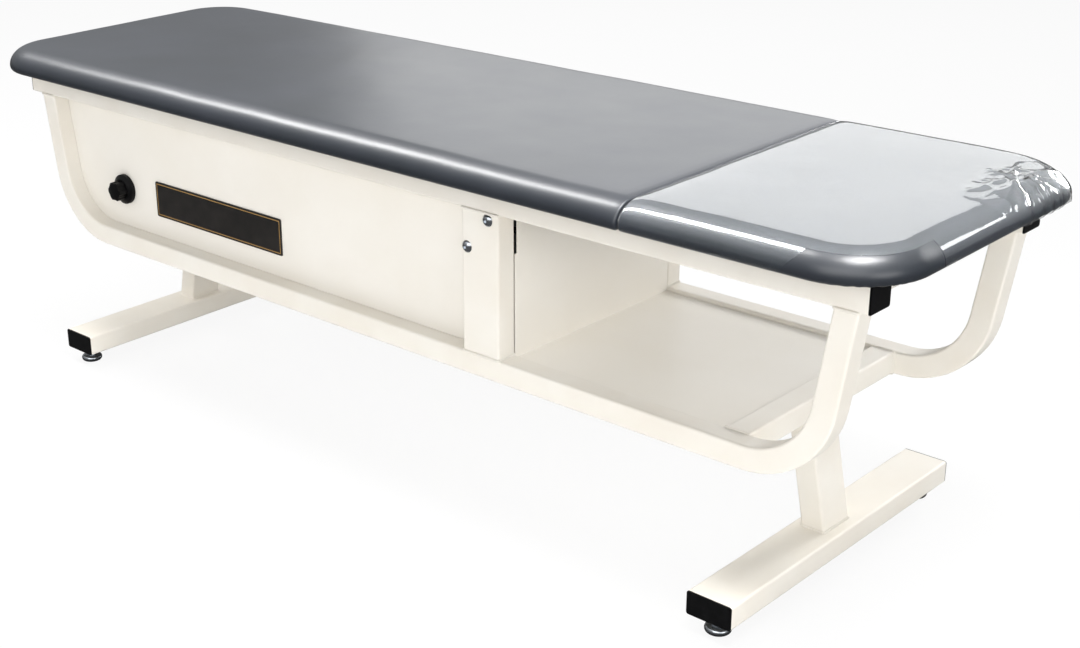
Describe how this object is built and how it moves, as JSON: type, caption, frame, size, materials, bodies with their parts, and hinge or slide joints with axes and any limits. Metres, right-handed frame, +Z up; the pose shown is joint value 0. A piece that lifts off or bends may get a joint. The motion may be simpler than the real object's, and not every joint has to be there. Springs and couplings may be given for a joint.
{
  "type": "roller massage table",
  "caption": "Roller massage table with a welded tube frame, an enclosed roller carriage, an open storage bay and a two-part padded top.",
  "frame": {"origin": "middle of the table's footprint, on the floor under the glides", "axes": "+X from the head end (knob, roller bay) to the foot end (storage bay, clear cover); +Y from the front, which carries the knob and the plate, to the rear; +Z up"},
  "size_m": [1.976, 0.616, 0.6129],
  "materials": {
    "frame_cream": "warm cream powder coat, semi-gloss",
    "black_plastic": "moulded black plastic, fine satin grain",
    "chrome": "bright nickel-chrome plate",
    "plate_dark": "satin black enamel on a thin plate",
    "zinc": "bright zinc plate",
    "yellow_zinc": "yellow passivated zinc plate",
    "track_steel": "galvanised tube",
    "box_grey": "grey hammer paint",
    "cast_aluminium": "die-cast, as cast",
    "motor_grey": "dark grey enamel",
    "belt_rubber": "cloth-backed rubber belt",
    "wheel_nylon": "turned nylon",
    "roller_rubber": "moulded massage rubber, matt",
    "plywood": "sanded birch plywood",
    "vinyl_slate": "slate-grey upholstery vinyl, satin with a fine grain",
    "clear_vinyl": "clear flexible vinyl, glossy"
  },
  "bodies": {
    "table": {"top_rail_front": "frame_cream", "top_rail_rear": "frame_cream", "rail_plugs": "black_plastic", "upper_cross_tubes": "frame_cream", "side_tube_front": "frame_cream", "side_tube_rear": "frame_cream", "post_front": "frame_cream", "post_rear": "frame_cream", "crossbar_head": "frame_cream", "crossbar_foot": "frame_cream", "column_head": "frame_cream", "column_foot": "frame_cream", "foot_bar_head": "frame_cream", "foot_bar_foot": "frame_cream", "foot_bar_plugs": "black_plastic", "side_panel_front": "frame_cream", "side_panel_rear": "frame_cream", "head_panel": "frame_cream", "bottom_pan": "frame_cream", "partition_panel": "frame_cream", "shelf_panel": "frame_cream", "name_plate": "plate_dark", "post_screws": "chrome", "timer_switch": "zinc", "cord_gland": "black_plastic", "control_box": "box_grey", "motor_bracket": "zinc", "gearbox": "cast_aluminium", "drive_motor": "motor_grey", "idler_bracket": "zinc", "idler_axle": "zinc", "drive_belt": "belt_rubber", "track_front": "track_steel", "track_rear": "track_steel", "track_hangers": "track_steel", "main_board": "plywood", "foot_board": "plywood", "main_cushion": "vinyl_slate", "foot_cushion": "vinyl_slate", "foot_cover": "clear_vinyl"},
    "glide_head_front": {"glide_head_front": "chrome"},
    "glide_head_rear": {"glide_head_rear": "chrome"},
    "glide_foot_front": {"glide_foot_front": "chrome"},
    "glide_foot_rear": {"glide_foot_rear": "chrome"},
    "knob": {"control_knob": "black_plastic"},
    "carriage": {"carriage_frame": "yellow_zinc", "belt_clamp": "zinc", "wheel_axles": "zinc", "roller_axles": "zinc"},
    "wheel_head_front": {"wheel_head_front": "wheel_nylon"},
    "wheel_head_rear": {"wheel_head_rear": "wheel_nylon"},
    "wheel_foot_front": {"wheel_foot_front": "wheel_nylon"},
    "wheel_foot_rear": {"wheel_foot_rear": "wheel_nylon"},
    "roller_head_front": {"roller_head_front": "roller_rubber"},
    "roller_head_rear": {"roller_head_rear": "roller_rubber"},
    "roller_foot_front": {"roller_foot_front": "roller_rubber"},
    "roller_foot_rear": {"roller_foot_rear": "roller_rubber"},
    "drive_shaft": {"drive_pulley": "black_plastic", "output_shaft": "zinc"},
    "idler": {"idler_pulley": "black_plastic"}
  },
  "joints": [
    {"name": "glide_head_front_adjust", "type": "slide", "parent": "table", "child": "glide_head_front", "axis": [0, 0, -1], "range_m": [0, 0.02]},
    {"name": "glide_head_rear_adjust", "type": "slide", "parent": "table", "child": "glide_head_rear", "axis": [0, 0, -1], "range_m": [0, 0.02]},
    {"name": "glide_foot_front_adjust", "type": "slide", "parent": "table", "child": "glide_foot_front", "axis": [0, 0, -1], "range_m": [0, 0.02]},
    {"name": "glide_foot_rear_adjust", "type": "slide", "parent": "table", "child": "glide_foot_rear", "axis": [0, 0, -1], "range_m": [0, 0.02]},
    {"name": "knob_turn", "type": "hinge", "parent": "table", "child": "knob", "pos_m": [-0.692, -0.2081, 0.355], "axis": [0, -1, 0], "range_deg": [0, 300]},
    {"name": "carriage_travel", "type": "slide", "parent": "table", "child": "carriage", "axis": [1, 0, 0], "range_m": [-0.33, 0.33]},
    {"name": "wheel_head_front_spin", "type": "hinge", "parent": "carriage", "child": "wheel_head_front", "pos_m": [-0.375, -0.1023, 0.4973], "axis": [0, 1, 0], "range_deg": [-945.53, 945.53]},
    {"name": "wheel_head_rear_spin", "type": "hinge", "parent": "carriage", "child": "wheel_head_rear", "pos_m": [-0.375, 0.1023, 0.4973], "axis": [0, 1, 0], "range_deg": [-945.53, 945.53]},
    {"name": "wheel_foot_front_spin", "type": "hinge", "parent": "carriage", "child": "wheel_foot_front", "pos_m": [-0.185, -0.1023, 0.4973], "axis": [0, 1, 0], "range_deg": [-945.53, 945.53]},
    {"name": "wheel_foot_rear_spin", "type": "hinge", "parent": "carriage", "child": "wheel_foot_rear", "pos_m": [-0.185, 0.1023, 0.4973], "axis": [0, 1, 0], "range_deg": [-945.53, 945.53]},
    {"name": "roller_head_front_spin", "type": "hinge", "parent": "carriage", "child": "roller_head_front", "pos_m": [-0.342, -0.042, 0.5245], "axis": [0, 1, 0], "range_deg": [-450.33, 450.33]},
    {"name": "roller_head_rear_spin", "type": "hinge", "parent": "carriage", "child": "roller_head_rear", "pos_m": [-0.342, 0.042, 0.5245], "axis": [0, 1, 0], "range_deg": [-450.33, 450.33]},
    {"name": "roller_foot_front_spin", "type": "hinge", "parent": "carriage", "child": "roller_foot_front", "pos_m": [-0.218, -0.042, 0.5245], "axis": [0, 1, 0], "range_deg": [-450.33, 450.33]},
    {"name": "roller_foot_rear_spin", "type": "hinge", "parent": "carriage", "child": "roller_foot_rear", "pos_m": [-0.218, 0.042, 0.5245], "axis": [0, 1, 0], "range_deg": [-450.33, 450.33]},
    {"name": "drive_shaft_spin", "type": "hinge", "parent": "table", "child": "drive_shaft", "pos_m": [0.195, 0, 0.4248], "axis": [0, 1, 0], "range_deg": [-663.57, 663.57]},
    {"name": "idler_spin", "type": "hinge", "parent": "table", "child": "idler", "pos_m": [-0.7225, 0, 0.4248], "axis": [0, 1, 0], "range_deg": [-663.57, 663.57]}
  ],
  "couplings": [
    {"joint": "wheel_head_front_spin", "follows": "carriage_travel", "rad_per_m": 50},
    {"joint": "wheel_head_rear_spin", "follows": "carriage_travel", "rad_per_m": 50},
    {"joint": "wheel_foot_front_spin", "follows": "carriage_travel", "rad_per_m": 50},
    {"joint": "wheel_foot_rear_spin", "follows": "carriage_travel", "rad_per_m": 50},
    {"joint": "roller_head_front_spin", "follows": "carriage_travel", "rad_per_m": -23.809},
    {"joint": "roller_head_rear_spin", "follows": "carriage_travel", "rad_per_m": -23.809},
    {"joint": "roller_foot_front_spin", "follows": "carriage_travel", "rad_per_m": -23.809},
    {"joint": "roller_foot_rear_spin", "follows": "carriage_travel", "rad_per_m": -23.809},
    {"joint": "drive_shaft_spin", "follows": "carriage_travel", "rad_per_m": 35.088},
    {"joint": "idler_spin", "follows": "carriage_travel", "rad_per_m": 35.088}
  ]
}
